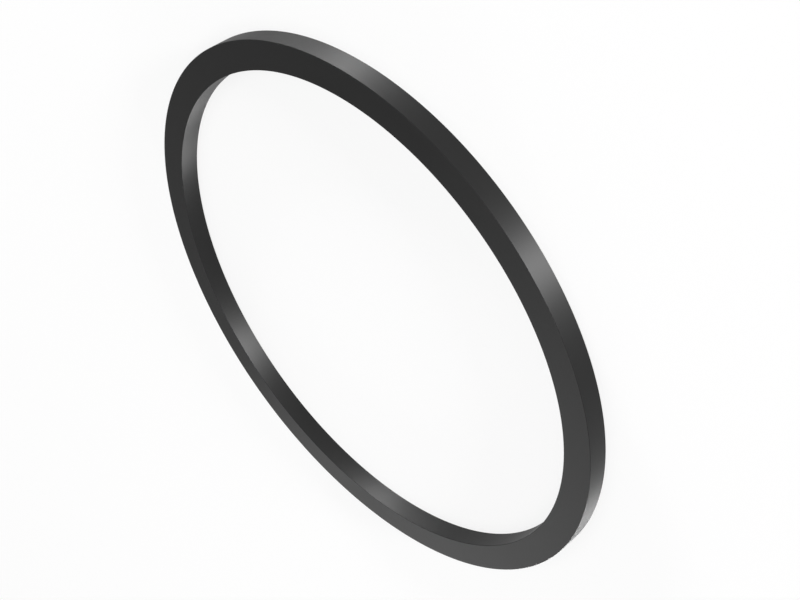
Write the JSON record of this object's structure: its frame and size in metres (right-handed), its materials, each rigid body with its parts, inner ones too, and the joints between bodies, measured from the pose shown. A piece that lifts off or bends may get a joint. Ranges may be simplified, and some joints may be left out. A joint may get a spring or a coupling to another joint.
{
  "type": "backup ring",
  "caption": "Uncut flat ring of rectangular section that sits beside an O-ring in its groove and closes the gap it could be pressed into.",
  "frame": {"origin": "centre of the ring's lower flat side, on the bore's axis", "axes": "+Z along the ring's axis, from the lower flat side to the upper one; X and Y lie in the lower flat side and may point any way, because the ring is round"},
  "size_m": [0.04, 0.04, 0.0014],
  "materials": {
    "hard_rubber": "hard black nitrile rubber, smooth satin"
  },
  "bodies": {
    "root": {"backup_ring": "hard_rubber"}
  },
  "joints": []
}
